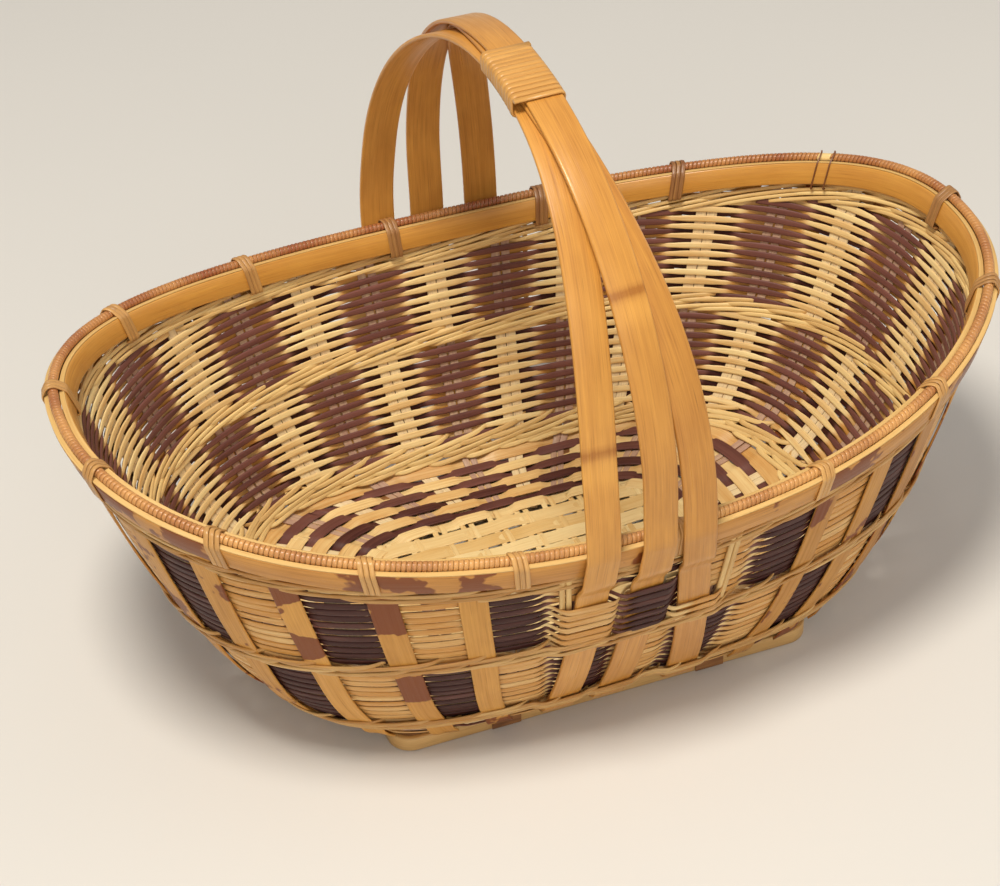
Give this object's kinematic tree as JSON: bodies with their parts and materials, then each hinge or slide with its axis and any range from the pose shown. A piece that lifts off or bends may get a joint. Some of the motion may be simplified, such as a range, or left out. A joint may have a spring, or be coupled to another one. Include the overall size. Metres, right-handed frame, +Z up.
{
  "type": "picnic basket",
  "caption": "Open boat-shaped woven cane basket with a raised foot, a bound rim and a tall fixed arch handle of bamboo straps.",
  "frame": {"origin": "on the table under the middle of the basket", "axes": "+X along the basket's length, +Y across it to the far long side, +Z up"},
  "size_m": [0.471, 0.307, 0.3226],
  "materials": {
    "brown_splint": "satin, brown splint",
    "fine_cane": "satin, reddish-brown cane",
    "foot_bamboo": "satin, pale bamboo",
    "hoop_bamboo": "satin, golden bamboo",
    "lashing_cane": "satin, split cane",
    "pale_cane": "satin, pale cane",
    "pale_splint": "satin, pale bamboo splint",
    "patched_bamboo": "satin bamboo skin with burnt brown patches",
    "stake_cane": "satin, pale cane",
    "strap_bamboo": "satin, oiled bamboo skin with darker nodes",
    "two_tone_weave": "satin splints, natural and dark stained"
  },
  "bodies": {
    "root": {"base_band": "pale_cane", "base_splints": "pale_splint", "base_stakes": "pale_splint", "floor_weave": "two_tone_weave", "foot_frame": "foot_bamboo", "foot_liner": "brown_splint", "foot_pegs": "foot_bamboo", "foot_ties": "brown_splint", "handle_binding": "fine_cane", "handle_strap_left": "strap_bamboo", "handle_strap_middle": "strap_bamboo", "handle_strap_right": "strap_bamboo", "middle_band": "pale_cane", "rim_core": "pale_cane", "rim_inner_hoop": "hoop_bamboo", "rim_lashings_back": "lashing_cane", "rim_lashings_front": "lashing_cane", "rim_lashings_left": "lashing_cane", "rim_lashings_right": "lashing_cane", "rim_outer_hoop": "patched_bamboo", "rim_winding": "fine_cane", "stakes_back": "patched_bamboo", "stakes_front": "patched_bamboo", "stakes_left": "patched_bamboo", "stakes_right": "patched_bamboo", "thin_stakes_back": "stake_cane", "thin_stakes_front": "stake_cane", "thin_stakes_left": "stake_cane", "thin_stakes_right": "stake_cane", "top_band": "pale_cane", "weave_lower": "two_tone_weave", "weave_upper": "two_tone_weave"}
  },
  "joints": []
}
